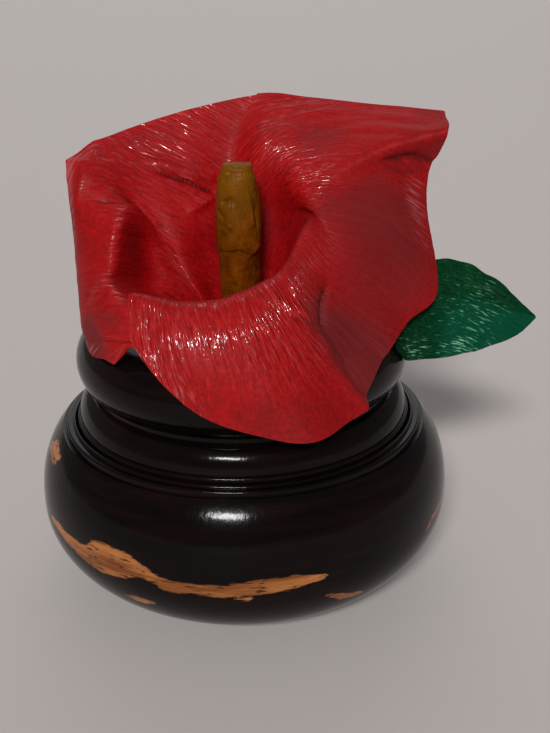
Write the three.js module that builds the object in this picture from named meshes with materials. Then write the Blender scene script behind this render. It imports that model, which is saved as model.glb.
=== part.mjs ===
import * as THREE from 'three';

// Clearances shared by pieces that touch
const FIT_GAP = 0.3;
const PAPER = 0.8;
const REST_GAP = 0.6;

// Turned pot: axis on Z, foot on z = 0
const BELLY_RADIUS = 55;
const BELLY_DEPTH = 29.7;
const BELLY_HEIGHT = 23.4;
const SHOULDER_RADIUS = 48.4;
const SHOULDER_RISE = 27.7;
const SHOULDER_FULLNESS = 2.37;
const POT_FLOOR = 9;
// Small mouldings between shoulder and collar: radius about the axis and lift above the shoulder's end
const QUIRK = { radius: 47.6, lift: -0.15 };
const OUTER_BEAD = { radius: 46.6, lift: 0.67 };
const INNER_BEAD = { radius: 45, lift: 1.23 };
const GROOVE = { radius: 44.3, lift: 1.1 };
const FOOT_BEAD = { radius: 43.5, lift: 2.42 };
const BEAD_RADIUS = 0.7;
const BEAD_FROM = 0;
const BEAD_TO = 1.5;
const COLLAR_RADIUS = 43.65;
const COLLAR_DEPTH = 5.2;
const COLLAR_RISE = 7.2;
const COLLAR_LIFT = 2.65;
const COLLAR_FROM = 0.1;
const NECK_RADIUS = 39.4;
const RIM_INSET = 10.45;
const RIM_LIFT = 15.68;
const RIM_BODY = 10.1;
const RIM_RISE = 9.5;
const BELLY_STEPS = 8;
const SHOULDER_STEPS = 8;
const BEAD_STEPS = 4;
const COLLAR_STEPS = 8;
const RIM_STEPS = 16;
const POT_SEGMENTS = 56;

// Spathe: ribs run from the free end of the left half round the back seam to the flap's free edge.
// Each rib gives its turn about the stem in degrees, then crest, shoulder, skirt and cut edge as
// [right, back, height above the rim's top], in hundredths of the rim's radius.
const SPATHE_RIBS = [
  [263, [-53, -89, 36], [-56, -96, 26], [-58, -102, 18], [-58, -105, 13]],
  [257, [-74, -81, 37], [-82, -86, 23], [-80, -92, 15], [-77, -96, 11]],
  [251, [-83, -71, 38], [-102, -71, 24], [-95, -81, 15], [-90, -89, -4]],
  [244, [-94, -53, 46], [-111, -52, 27], [-114, -57, 10], [-111, -62, -4]],
  [236, [-90, -38, 55], [-107, -39, 45], [-120, -24, 33], [-125, 0, 17]],
  [226, [-87, -20, 76], [-102, -19, 72], [-120, -3, 68], [-127, 13, 62]],
  [210, [-78, 9, 84], [-98, 3, 92], [-120, 12, 95], [-130, 25, 98]],
  [192, [-66, 18, 67], [-95, 23, 102], [-116, 27, 114], [-132, 38, 115]],
  [170, [-50, 20, 67], [-74, 38, 104], [-93, 48, 120], [-108, 55, 127]],
  [135, [-27, 32, 66], [-36, 51, 107], [-44, 66, 130], [-51, 76, 143]],
  [90, [-5, 41, 66], [-3, 60, 111], [6, 78, 139], [18, 90, 156]],
  [70, [8, 35, 75], [20, 41, 123], [39, 63, 142], [60, 84, 153]],
  [45, [28, 30, 73], [37, 29, 116], [78, 53, 137], [114, 71, 148]],
  [15, [38, 20, 71], [48, 11, 105], [99, 38, 133], [160, 51, 145]],
  [-5, [43, 12, 72], [54, 0, 98], [108, 16, 123], [160, 24, 135]],
  [-18, [47, 5, 76], [57, -9, 93], [111, 16, 111], [157, 32, 116]],
  [-28, [50, -2, 79], [59, -18, 88], [107, 11, 102], [150, 33, 100]],
  [-40, [53, -13, 80], [63, -27, 83], [111, -6, 83], [148, 23, 73]],
  [-52, [48, -31, 75], [75, -47, 60], [118, -25, 49], [152, -13, 19]],
  [-62, [38, -53, 63], [56, -63, 50], [100, -49, 23], [126, -39, 4]],
  [-69, [33, -61, 58], [48, -73, 44], [84, -69, 9], [107, -71, -7]],
  [-77, [27, -71, 54], [43, -83, 36], [66, -90, 8], [91, -93, -25]],
  [-86, [15, -86, 52], [30, -102, 34], [57, -111, -1], [87, -113, -34]],
  [-96, [0, -94, 48], [10, -116, 32], [27, -129, -4], [48, -140, -44]],
  [-106, [-17, -97, 44], [-12, -118, 32], [-2, -133, 0], [9, -140, -38]],
  [-116, [-43, -98, 44], [-41, -116, 33], [-36, -130, 10], [-27, -136, -25]],
  [-124, [-61, -92, 46], [-63, -102, 32], [-60, -113, 14], [-53, -123, -7]],
  [-132, [-75, -83, 46], [-77, -92, 33], [-76, -101, 20], [-71, -108, 11]],
];
// The pocket on the left: throat and throat wall of the ribs named, given as in the ribs
const POCKET = {
  2: [[-33, -26, 12], [-60, -29, 21]],
  3: [[-50, -12, 16], [-72, -15, 27]],
  4: [[-48, -6, 17], [-71, -2, 38]],
  5: [[-46, -2, 19], [-71, 10, 53]],
  6: [[-42, 2, 20], [-60, 15, 48]],
  7: [[-36, 5, 18], [-53, 16, 44]],
};
const SEAM_RIB = 10;
const WRAP_RIB = 5;
const CREASE_RIB = 2;
const CREASE_CORE = 0.3;
const CREASE_REACH = 1;
const CREASE_START = 0.58;
const CREASE_FULL = 0.7;
const SEAM_LAP = 0.35;
const LAP_RAMP = 1;
const LAP_EASE = 0.25;
const WRAP_STEP = 1.8;
const THROAT_RADIUS = 9.5;
const THROAT_LIFT = 5;
const BASE_DROP = 9;
const WALL_SWELL = 0.8;
const WALL_SAG = 0.6;
const CELLS_PER_RIB = 4;
const CELLS_ALONG = 18;
const NORMAL_STEP = 0.02;

// Spadix and stem
const STEM_RADIUS = 2.4;
const SOCKET_DEPTH = 14;
const SPADIX_FOOT_DROP = 5;
const SPADIX_HEIGHT = 39.5;
const SPADIX_FOOT_RADIUS = 3.4;
const SPADIX_WAIST_RADIUS = 5.3;
const SPADIX_RADIUS = 5.9;
const SPADIX_TIP_RADIUS = 4.1;
const SPADIX_TIP_ROUND = 1.6;
const SPADIX_WAIST_SHARE = 0.25;
const SPADIX_WIDEST_SHARE = 0.7;
const SPADIX_STEPS = 14;
const SPADIX_SEGMENTS = 28;

// Leaf and its stalk: spine points as [right, back, height above the rim's top], and widths
// [below, above] the spine at equal steps from base to tip, in hundredths of the rim's radius
const LEAF_SPINE = [[106, -36, 3], [140, -14, 4], [172, -5, 4], [202, -2, -2], [235, 0, -10]];
const LEAF_WIDTHS = [
  [27, 9], [34, 26], [38, 35], [40, 40], [41, 41], [39, 40], [36, 37], [30, 32], [24, 26], [15, 13], [1, 1]];
const LEAF_LEAN = 52;
const LEAF_FOLD = 7;
const LEAF_CELLS_ALONG = 20;
const LEAF_CELLS_ACROSS = 8;
const STALK_RADIUS = 1;
const STALK_SIDE = 5.5;
const STALK_BEND = 26;
const STALK_CLEAR = 0.8;
const STALK_RISE_TURN = 1.35;
const STALK_FALL_TURN = 2.9;
const STALK_ARC_STEPS = 4;
const STALK_STEPS = 18;
const STALK_SEGMENTS = 4;
const SPLINE_TENSION = 0.5;

const coreRadius = BELLY_RADIUS - BELLY_DEPTH;
const shoulderShare = ((SHOULDER_RADIUS - coreRadius) / BELLY_DEPTH) ** SHOULDER_FULLNESS;
const shoulderZ = BELLY_HEIGHT + SHOULDER_RISE * (1 - shoulderShare) ** (1 / SHOULDER_FULLNESS);
const collarZ = shoulderZ + COLLAR_LIFT;
const rimRadius = COLLAR_RADIUS - RIM_INSET;
const rimShare = rimRadius / 100;
const rimZ = collarZ + RIM_LIFT;
const rimTop = rimZ + RIM_RISE;
const boreRadius = rimRadius - RIM_BODY;

const vec = (x, y, z) => new THREE.Vector3(x, y, z);
const aboveRim = (shares) => vec(...shares).multiplyScalar(rimShare).add(vec(0, 0, rimTop));
const spline = (points) => new THREE.CatmullRomCurve3(points, false, 'catmullrom', SPLINE_TENSION);
const mix = THREE.MathUtils.lerp;
const unit = (value) => THREE.MathUtils.clamp(value, 0, 1);

// Points of an oval arc in the pot's section, squarer than an ellipse where the fullness is above 2
function ovalArc(radius, z, across, up, from, to, steps, fullness = 2) {
  const swell = (value) => Math.sign(value) * Math.abs(value) ** (2 / fullness);
  return Array.from({ length: steps + 1 }, (_, i) => {
    const turn = mix(from, to, i / steps);
    return new THREE.Vector2(radius + across * swell(Math.cos(turn)), z + up * swell(Math.sin(turn)));
  });
}

function potGeometry() {
  const spot = ({ radius, lift }) => new THREE.Vector2(radius, shoulderZ + lift);
  const bead = ({ radius, lift }) =>
    ovalArc(radius, shoulderZ + lift, BEAD_RADIUS, BEAD_RADIUS, BEAD_FROM, BEAD_TO, BEAD_STEPS);
  const shoulderEnd = Math.acos(Math.sqrt(shoulderShare));
  const shoulder = ovalArc(
    coreRadius, BELLY_HEIGHT, BELLY_DEPTH, SHOULDER_RISE, 0, shoulderEnd, SHOULDER_STEPS, SHOULDER_FULLNESS);
  const collarCore = COLLAR_RADIUS - COLLAR_DEPTH;
  const collarEnd = Math.acos((NECK_RADIUS - collarCore) / COLLAR_DEPTH);
  const rimStart = -Math.acos((NECK_RADIUS - rimRadius) / RIM_BODY);
  const profile = [
    new THREE.Vector2(0, 0),
    ...ovalArc(coreRadius, BELLY_HEIGHT, BELLY_DEPTH, BELLY_HEIGHT, -Math.PI / 2, 0, BELLY_STEPS),
    ...shoulder.slice(1),
    spot(QUIRK),
    ...bead(OUTER_BEAD),
    ...bead(INNER_BEAD),
    spot(GROOVE),
    ...bead(FOOT_BEAD),
    ...ovalArc(collarCore, collarZ, COLLAR_DEPTH, COLLAR_RISE, COLLAR_FROM, collarEnd, COLLAR_STEPS),
    ...ovalArc(rimRadius, rimZ, RIM_BODY, RIM_RISE, rimStart, Math.PI, RIM_STEPS),
    new THREE.Vector2(boreRadius, POT_FLOOR),
    new THREE.Vector2(0, POT_FLOOR),
  ];
  return new THREE.LatheGeometry(profile, POT_SEGMENTS);
}

// A point that would lie in the rolled rim is moved out to rest on it
function restOnRim(point) {
  const seat = REST_GAP + PAPER / 2;
  const reach = Math.hypot(point.x, point.y);
  const depth = Math.hypot((reach - rimRadius) / (RIM_BODY + seat), (point.z - rimZ) / (RIM_RISE + seat));
  if (depth >= 1) {
    return point;
  }
  const seated = rimRadius + (reach - rimRadius) / depth;
  return vec(point.x * seated / reach, point.y * seated / reach, rimZ + (point.z - rimZ) / depth);
}

// One rib from the stem through the throat and over the crest to the cut edge
function spatheRib([degrees, ...points], index) {
  const turn = THREE.MathUtils.degToRad(degrees);
  const ring = (radius, z) => vec(radius * Math.cos(turn), radius * Math.sin(turn), z);
  const layer = WRAP_STEP * THREE.MathUtils.smoothstep(SEAM_RIB - index, 0, SEAM_RIB - WRAP_RIB);
  const base = ring(STEM_RADIUS + FIT_GAP + PAPER / 2 + layer, rimTop - BASE_DROP);
  const shown = points.map(aboveRim);
  if (index in POCKET) {
    return spline([base, ...POCKET[index].map(aboveRim), ...shown]);
  }
  const throat = ring(THROAT_RADIUS + layer, rimTop + THROAT_LIFT - layer);
  const swell = WALL_SWELL * (1 - Math.sin(turn));
  const wall = throat.clone().lerp(shown[0], 0.5).add(ring(swell, -WALL_SAG * swell - layer));
  return spline([base, throat, wall, ...shown]);
}

const spatheRibs = SPATHE_RIBS.map(spatheRib);

// Point of the spathe's middle surface, rib counts ribs and along runs from 0 at the stem to 1 at the edge.
// Near the creased rib the paper runs straight from rib to rib, which leaves a sharp fold
function spathePoint(rib, along) {
  const row = spatheRibs.map((curve) => curve.getPoint(unit(along)));
  const rounded = spline(row).getPoint(unit(rib / (row.length - 1)));
  const first = THREE.MathUtils.clamp(Math.floor(rib), 0, row.length - 2);
  const straight = row[first].clone().lerp(row[first + 1], rib - first);
  const near = 1 - THREE.MathUtils.smoothstep(Math.abs(rib - CREASE_RIB), CREASE_CORE, CREASE_REACH);
  const outer = THREE.MathUtils.smoothstep(along, CREASE_START, CREASE_FULL);
  return restOnRim(rounded.lerp(straight, near * outer));
}

// Unit normal of a surface at two parameters, from neighbouring points
function surfaceNormal(point, a, b, stepA, stepB) {
  const alongA = point(a + stepA, b).sub(point(a - stepA, b));
  const alongB = point(a, b + stepB).sub(point(a, b - stepB));
  return alongA.cross(alongB).normalize();
}

// Closed sheet between two offsets of a surface, corners counted along both parameters
function sheetGeometry(faces, columns, rows) {
  const corners = [];
  for (const side of [0, 1]) {
    for (let i = 0; i <= columns; i += 1) {
      for (let j = 0; j <= rows; j += 1) {
        corners.push(...faces(i / columns, j / rows)[side].toArray());
      }
    }
  }
  const at = (side, i, j) => (side * (columns + 1) + i) * (rows + 1) + j;
  const index = [];
  const quad = (a, b, c, d) => index.push(a, b, c, a, c, d);
  for (let i = 0; i < columns; i += 1) {
    for (let j = 0; j < rows; j += 1) {
      quad(at(0, i, j), at(0, i + 1, j), at(0, i + 1, j + 1), at(0, i, j + 1));
      quad(at(1, i, j), at(1, i, j + 1), at(1, i + 1, j + 1), at(1, i + 1, j));
    }
    quad(at(0, i, 0), at(1, i, 0), at(1, i + 1, 0), at(0, i + 1, 0));
    quad(at(0, i, rows), at(0, i + 1, rows), at(1, i + 1, rows), at(1, i, rows));
  }
  for (let j = 0; j < rows; j += 1) {
    quad(at(0, 0, j), at(0, 0, j + 1), at(1, 0, j + 1), at(1, 0, j));
    quad(at(0, columns, j), at(1, columns, j), at(1, columns, j + 1), at(0, columns, j + 1));
  }
  const geometry = new THREE.BufferGeometry();
  geometry.setAttribute('position', new THREE.Float32BufferAttribute(corners, 3));
  geometry.setIndex(index);
  geometry.computeVertexNormals();
  return geometry;
}

// One half of the spathe between two ribs; lift sets it off the middle surface, towards its outside
function spatheHalf(fromRib, toRib, lift) {
  const columns = Math.round((toRib - fromRib) * CELLS_PER_RIB);
  const faces = (a, b) => {
    const rib = mix(fromRib, toRib, a);
    const middle = spathePoint(rib, b);
    const normal = surfaceNormal(spathePoint, rib, b, NORMAL_STEP, NORMAL_STEP);
    const place = (offset) => middle.clone().addScaledVector(normal, offset + lift(rib));
    return [place(PAPER / 2), place(-PAPER / 2)];
  };
  return sheetGeometry(faces, columns, CELLS_ALONG);
}

const lapLift = (rib) =>
  -(PAPER + FIT_GAP) * THREE.MathUtils.smoothstep(rib, SEAM_RIB - LAP_RAMP, SEAM_RIB - LAP_EASE);
const flatLift = () => 0;

function spadixGeometry() {
  const foot = rimTop - SPADIX_FOOT_DROP;
  const socket = STEM_RADIUS + FIT_GAP;
  const top = foot + SPADIX_HEIGHT + SPADIX_FOOT_DROP;
  const side = new THREE.SplineCurve([
    new THREE.Vector2(SPADIX_FOOT_RADIUS, foot),
    new THREE.Vector2(SPADIX_WAIST_RADIUS, mix(foot, top, SPADIX_WAIST_SHARE)),
    new THREE.Vector2(SPADIX_RADIUS, mix(foot, top, SPADIX_WIDEST_SHARE)),
    new THREE.Vector2(SPADIX_TIP_RADIUS, top - SPADIX_TIP_ROUND),
  ]).getPoints(SPADIX_STEPS);
  const profile = [
    new THREE.Vector2(0, foot + SOCKET_DEPTH),
    new THREE.Vector2(socket, foot + SOCKET_DEPTH),
    new THREE.Vector2(socket, foot),
    ...side,
    new THREE.Vector2(SPADIX_TIP_RADIUS - SPADIX_TIP_ROUND, top),
    new THREE.Vector2(0, top),
  ];
  return new THREE.LatheGeometry(profile, SPADIX_SEGMENTS);
}

function stemGeometry() {
  const foot = POT_FLOOR + FIT_GAP;
  const top = rimTop - SPADIX_FOOT_DROP + SOCKET_DEPTH - FIT_GAP;
  const profile = [[0, foot], [STEM_RADIUS, foot], [STEM_RADIUS, top], [0, top]];
  return new THREE.LatheGeometry(profile.map(([r, z]) => new THREE.Vector2(r, z)), SPADIX_SEGMENTS);
}

const leafSpine = spline(LEAF_SPINE.map(aboveRim));
const leafWidths = spline(LEAF_WIDTHS.map((pair) => vec(...pair, 0).multiplyScalar(rimShare)));

// Point of the leaf's middle surface, along runs base to tip and side from -1 below to 1 above
function leafPoint(along, side) {
  const share = unit(along);
  const widths = leafWidths.getPoint(share);
  const width = side < 0 ? widths.x : widths.y;
  const lean = THREE.MathUtils.degToRad(LEAF_LEAN - LEAF_FOLD * Math.sign(side));
  const spine = leafSpine.getPoint(share);
  return restOnRim(spine.add(vec(0, Math.cos(lean), Math.sin(lean)).multiplyScalar(width * side)));
}

function leafGeometry() {
  const faces = (a, b) => {
    const side = 2 * b - 1;
    const middle = leafPoint(a, side);
    const normal = surfaceNormal(leafPoint, a, side, NORMAL_STEP, NORMAL_STEP);
    return [1, -1].map((way) => middle.clone().addScaledVector(normal, way * PAPER / 2));
  };
  return sheetGeometry(faces, LEAF_CELLS_ALONG, LEAF_CELLS_ACROSS);
}

function stalkGeometry() {
  const leafBase = leafSpine.getPoint(0);
  const heading = leafBase.clone().setZ(0).normalize();
  const spot = (reach, z) => heading.clone().multiplyScalar(reach).setZ(z);
  const clear = STALK_RADIUS + STALK_CLEAR;
  const overRim = ovalArc(
    rimRadius, rimZ, RIM_BODY + clear, RIM_RISE + clear, STALK_RISE_TURN, STALK_FALL_TURN, STALK_ARC_STEPS);
  const path = spline([
    spot(Math.hypot(leafBase.x, leafBase.y) - PAPER - REST_GAP, leafBase.z),
    ...overRim.map(({ x, y }) => spot(x, y)),
    spot(STALK_SIDE, rimZ - STALK_BEND),
    spot(STALK_SIDE, POT_FLOOR + FIT_GAP),
  ]);
  const section = new THREE.Shape().absarc(0, 0, STALK_RADIUS, 0, Math.PI * 2);
  return new THREE.ExtrudeGeometry(section, {
    steps: STALK_STEPS, curveSegments: STALK_SEGMENTS, bevelEnabled: false, extrudePath: path });
}

const paint = (colour, roughness) => new THREE.MeshStandardMaterial({ color: colour, roughness });
const darkWood = paint(0x1c1210, 0.25);
const redCrepe = paint(0xa3161c, 0.5);
const ochrePaper = paint(0x7a5a10, 0.55);
const greenCrepe = paint(0x0f4a2c, 0.5);
const wrappedWire = paint(0x4c5a1e, 0.6);

const lily = new THREE.Group();
lily.name = 'crepe_paper_calla_lily';
function add(name, geometry, material) {
  const mesh = new THREE.Mesh(geometry, material);
  mesh.name = name;
  lily.add(mesh);
}

const lastRib = SPATHE_RIBS.length - 1;
const upright = (geometry) => geometry.rotateX(Math.PI / 2);
add('pot', upright(potGeometry()), darkWood);
add('spathe_left_half', spatheHalf(0, SEAM_RIB + SEAM_LAP, lapLift), redCrepe);
add('spathe_right_half', spatheHalf(SEAM_RIB, lastRib, flatLift), redCrepe);
add('spadix', upright(spadixGeometry()), ochrePaper);
add('stem', upright(stemGeometry()), wrappedWire);
add('leaf', leafGeometry(), greenCrepe);
add('leaf_stalk', stalkGeometry(), wrappedWire);

export default lily;
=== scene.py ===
"""Crepe paper calla lily lying in the mouth of a turned wooden pot."""
import math

import bpy
import numpy as np
from mathutils import Matrix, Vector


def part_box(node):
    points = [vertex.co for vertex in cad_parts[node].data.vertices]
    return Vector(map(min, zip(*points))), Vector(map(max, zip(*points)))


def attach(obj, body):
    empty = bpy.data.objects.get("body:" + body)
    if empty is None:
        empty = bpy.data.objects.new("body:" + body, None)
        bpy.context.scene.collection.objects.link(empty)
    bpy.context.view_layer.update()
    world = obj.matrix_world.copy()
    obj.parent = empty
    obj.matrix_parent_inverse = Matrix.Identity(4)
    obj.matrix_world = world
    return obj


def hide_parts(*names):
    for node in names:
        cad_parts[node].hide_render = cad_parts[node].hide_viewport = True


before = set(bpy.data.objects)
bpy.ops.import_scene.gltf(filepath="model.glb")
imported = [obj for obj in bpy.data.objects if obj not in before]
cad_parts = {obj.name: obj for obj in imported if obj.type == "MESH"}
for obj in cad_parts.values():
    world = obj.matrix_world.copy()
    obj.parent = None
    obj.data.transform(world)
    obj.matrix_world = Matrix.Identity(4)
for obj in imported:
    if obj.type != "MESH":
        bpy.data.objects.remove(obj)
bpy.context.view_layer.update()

# Lengths are in millimetres until a mesh is made
MM = 0.001
NEAR_ZERO = 1e-9

# Pot
POT_HIGH = np.array(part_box("pot")[1]) / MM
BELLY_RADIUS = POT_HIGH[0]
RIM_TOP = POT_HIGH[2]
BELLY_DEPTH = 29.7
BELLY_HEIGHT = 23.4
CORE_RADIUS = BELLY_RADIUS - BELLY_DEPTH
SHOULDER_RADIUS = 48.4
SHOULDER_RISE = 27.7
SHOULDER_FULLNESS = 2.37
# Small mouldings between shoulder and collar: radius about the axis and lift above the shoulder's end
QUIRK = (47.6, -0.15)
OUTER_BEAD = (46.6, 0.67)
INNER_BEAD = (45.0, 1.23)
GROOVE = (44.3, 1.1)
FOOT_BEAD = (43.5, 2.42)
BEAD_RADIUS = 0.7
COLLAR_RADIUS = 43.65
COLLAR_DEPTH = 5.2
COLLAR_RISE = 7.2
COLLAR_LIFT = 2.65
NECK_RADIUS = 39.4
RIM_BODY = 10.1
RIM_RISE = 9.5
RIM_RADIUS = 33.2
RIM_Z = RIM_TOP - RIM_RISE
RIM_UNIT = RIM_RADIUS / 100
POT_FLOOR = 9.0
POT_TURNS = 400
# Steps along the arcs of the section, where a bead's arc ends and the collar's starts in radians, heights
# of extra rings in the bore, and shares of the radius where foot and floor have one
BELLY_STEPS = 36
SHOULDER_STEPS = 40
BEAD_STEPS = 14
COLLAR_STEPS = 28
RIM_STEPS = 60
BEAD_END = 1.5
COLLAR_START = 0.1
BORE_RINGS = (40.0, 20.0)
FOOT_RING = 0.5
FLOOR_RING = 0.4
FLOOR_ROUNDING = 1.0

# Pale sapwood in the dark wood: [turn in degrees, height, half width] along each streak
SAPWOOD = [
    [[-155, 25.4, 0.8], [-145, 24.4, 1.7], [-137, 23.6, 2.2], [-130, 24.6, 4.3], [-124, 25.4, 3.9],
     [-119, 25.8, 2.4], [-115, 24.6, 1.3], [-110, 22.9, 1.7], [-104, 22.8, 1.5], [-98, 22.8, 1.7],
     [-92, 23.1, 1.9], [-86, 23.6, 2.2], [-78, 24.3, 1.8], [-71, 24.3, 0.8]],
    [[-172, 38.0, 0.6], [-166, 39.4, 1.9], [-160, 39.4, 1.6], [-157, 40.5, 0.3]],
    [[-36, 21.0, 0.3], [-30, 24.2, 0.6], [-20, 25.2, 0.5], [-6, 25.6, 0.9], [18, 24.6, 1.8],
     [46, 23.8, 2.4], [75, 24.6, 1.2], [96, 23.6, 0.6]],
    [[-124, 15.6, 0.4], [-119, 15.2, 1.1], [-115, 15.8, 0.4]],
    [[-70, 18.0, 0.4], [-65, 16.0, 1.2], [-59, 14.4, 0.5]],
    [[-93, 20.6, 0.2], [-90, 20.6, 0.5]],
]
# Points read along each streak, and the field's value far from all of them
SAPWOOD_STEPS = 60
SAPWOOD_FAR = -9.0

# Spathe ribs: turn about the stem in degrees, then crest, shoulder, skirt and cut edge
# as (right, back, height above the rim's top), in hundredths of the rim's radius
SPATHE_RIBS = [
    (263, (-53, -89, 36), (-56, -96, 26), (-58, -102, 18), (-58, -105, 13)),
    (257, (-74, -81, 37), (-82, -86, 23), (-80, -92, 15), (-77, -96, 11)),
    (251, (-83, -71, 38), (-102, -71, 24), (-95, -81, 15), (-90, -89, -4)),
    (244, (-94, -53, 46), (-111, -52, 27), (-114, -57, 10), (-111, -62, -4)),
    (236, (-90, -38, 55), (-107, -39, 45), (-120, -24, 33), (-125, 0, 17)),
    (226, (-87, -20, 76), (-102, -19, 72), (-120, -3, 68), (-127, 13, 62)),
    (210, (-78, 9, 84), (-98, 3, 92), (-120, 12, 95), (-130, 25, 98)),
    (192, (-66, 18, 67), (-95, 23, 102), (-116, 27, 114), (-132, 38, 115)),
    (170, (-50, 20, 67), (-74, 38, 104), (-93, 48, 120), (-108, 55, 127)),
    (135, (-27, 32, 66), (-36, 51, 107), (-44, 66, 130), (-51, 76, 143)),
    (90, (-5, 41, 66), (-3, 60, 111), (6, 78, 139), (18, 90, 156)),
    (70, (8, 35, 75), (20, 41, 123), (39, 63, 142), (60, 84, 153)),
    (45, (28, 30, 73), (37, 29, 116), (78, 53, 137), (114, 71, 148)),
    (15, (38, 20, 71), (48, 11, 105), (99, 38, 133), (164, 51, 145)),
    (-5, (43, 12, 72), (54, 0, 98), (108, 16, 123), (162, 24, 135)),
    (-18, (47, 5, 76), (57, -9, 93), (111, 16, 111), (157, 32, 116)),
    (-28, (50, -2, 79), (59, -18, 88), (107, 11, 102), (150, 33, 100)),
    (-40, (53, -13, 80), (63, -27, 83), (111, -6, 83), (148, 23, 73)),
    (-52, (48, -31, 75), (75, -47, 60), (118, -25, 49), (152, -13, 19)),
    (-62, (38, -53, 63), (56, -63, 50), (100, -49, 23), (126, -39, 4)),
    (-69, (33, -61, 58), (48, -73, 44), (84, -69, 9), (107, -71, -7)),
    (-77, (27, -71, 54), (43, -83, 36), (66, -90, 8), (86, -93, -24)),
    (-86, (15, -86, 52), (30, -102, 34), (57, -111, -1), (87, -113, -34)),
    (-96, (0, -94, 48), (10, -116, 32), (27, -129, -4), (48, -140, -44)),
    (-106, (-17, -97, 44), (-12, -118, 32), (-2, -133, 0), (9, -140, -38)),
    (-116, (-43, -98, 44), (-41, -116, 33), (-36, -130, 10), (-27, -136, -25)),
    (-124, (-61, -92, 46), (-63, -102, 32), (-60, -113, 14), (-53, -123, -7)),
    (-132, (-75, -83, 46), (-77, -92, 33), (-76, -101, 20), (-71, -108, 11)),
]
# Pocket on the left: rib number, then its throat and throat wall, given as in the ribs
POCKET = [
    (2, (-33, -26, 12), (-60, -29, 21)), (3, (-50, -12, 16), (-72, -15, 27)),
    (4, (-48, -6, 17), (-71, -2, 38)), (5, (-46, -2, 19), (-71, 10, 53)),
    (6, (-42, 2, 20), (-60, 15, 48)), (7, (-36, 5, 18), (-53, 16, 44)),
]
# Where the halves lap, the hidden foot and throat, and the paper
SEAM_RIB = 10
WRAP_RIB = 5
SEAM_LAP = 0.35
WRAP_STEP = 1.8
THROAT_RADIUS = 9.5
THROAT_LIFT = 5.0
BASE_DROP = 9.0
FOOT_GAP = 0.7
WALL_SWELL = 0.8
WALL_SAG = 0.6
PAPER = 0.45
LAP_STEP = 0.75
LAP_RIBS = (-1.0, -0.1)
REST_GAP = 0.8
# Columns stand evenly along the line at this share of the ribs, which is measured at this many places
EVEN_SHARE = 0.9
EVEN_STEPS = 600
# Faces that meet at more than this many degrees show a sharp edge, on paper and elsewhere
PAPER_CRISP = 55
CRISP = 40

# Folds pressed into the paper: (rib, share of the way along it) at points of the fold, then its width,
# the power of its section, low for a sharp one and two for a bell, and how far it stands out
LEFT_FOLDS = [
    ([(5.9, 0.77), (5.9, 0.68), (5.9, 0.57), (7.1, 0.58)], 0.7, 1.1, -0.7),
    ([(7.4, 0.5), (7.2, 0.55), (7.1, 0.58)], 1.0, 1.4, 0.5),
    ([(8.2, 0.68), (8.55, 0.64), (9.0, 0.605), (9.4, 0.58)], 0.8, 1.2, -1.05),
    ([(8.15, 0.73), (8.5, 0.68), (8.9, 0.64), (9.4, 0.62)], 1.3, 2.0, 0.7),
    ([(8.5, 0.53), (9.0, 0.55), (9.4, 0.57)], 1.0, 1.3, 0.9),
    ([(5.4, 0.88), (6.0, 0.83), (6.7, 0.81), (7.4, 0.87), (7.9, 0.99)], 1.6, 1.0, 0.7),
]
RIGHT_FOLDS = [
    ([(19.1, 0.7), (20.1, 0.72), (20.9, 0.76)], 0.8, 1.1, -1.4),
    ([(21.5, 0.77), (21.5, 0.78), (21.5, 0.81)], 1.7, 2.0, 0.7),
    ([(21.7, 0.8), (21.8, 0.85), (21.8, 0.91), (21.9, 0.97)], 2.0, 1.1, 0.55),
    ([(14.8, 0.82), (14.8, 0.86), (14.9, 0.92), (15.4, 0.99)], 1.2, 1.3, -0.9),
    ([(15.2, 0.84), (15.9, 0.92), (15.9, 0.98)], 1.1, 1.3, -0.6),
    ([(17.3, 0.83), (17.5, 0.86), (17.6, 0.93)], 0.8, 1.3, -0.5),
]
# Shares of the way along a fold between which it comes up
FOLD_FADE = (-0.1, 0.3)
# Sharp creases and corners: rib, then the shares of the way along it where they start and are full
CREASES = [(2, 0.58, 0.7), (7, 0.8, 0.95), (13, 0.85, 0.98), (22, 0.85, 0.98)]
# Distance from such a rib, in ribs, up to which the paper runs straight, and where it is rounded again
CREASE_REACH = (0.3, 1.0)

# Grain of the left half: shares of depth and height on the side panel, then slope, ribs and turning place
# on the back wall, and shares along the ribs, ribs and turning place on the turned-back strip
PANEL_GRAIN = (0.39, 0.92)
WALL_SLOPE = 0.5
WALL_RIBS = (5.5, 8.0)
WALL_PLACE = -30.0
STRIP_ALONG = (0.84, 0.9)
STRIP_RIBS = (7.4, 8.4)
STRIP_PLACE = -38.0
# Grain of the right half: its turn at the seam in degrees, and the distances over which it comes round
SEAM_TURN = 50.0
SEAM_REACH = (50.0, 140.0)

# Crepe waves in the mesh: height, pitch across the grain, length along it, and how many are added up
RIDGES = (0.14, 1.8, 30.0, 5)
SWELLS = (0.049, 7.5, 45.0, 4)
EDGE_RIPPLES = (0.05, 5.0, 60.0, 3)
LEAF_RIDGES = (0.14, 2.2, 26.0, 5)
LEAF_RUFFLES = (0.3, 9.0, 30.0, 3)
# Their sideways swing, its slant, the slant and level of their fading, and the spread of their starts
WAVE_SWING = 2
SWING_SLANT = 9
FADE_SLANT = 6
FADE_LEVEL = 0.6
WAVE_STARTS = 7
# Shares of the way along the ribs where ridges come up, where they ease off and by how much, where the
# paper is free to swell, and where the cut edge ripples
RIDGE_START = (0.28, 0.5)
RIDGE_EASE = (0.93, 1.0)
EDGE_CALM = 0.7
FREE_SHARES = (0.5, 1.0)
RIPPLE_SHARES = (0.85, 1.0)

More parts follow.
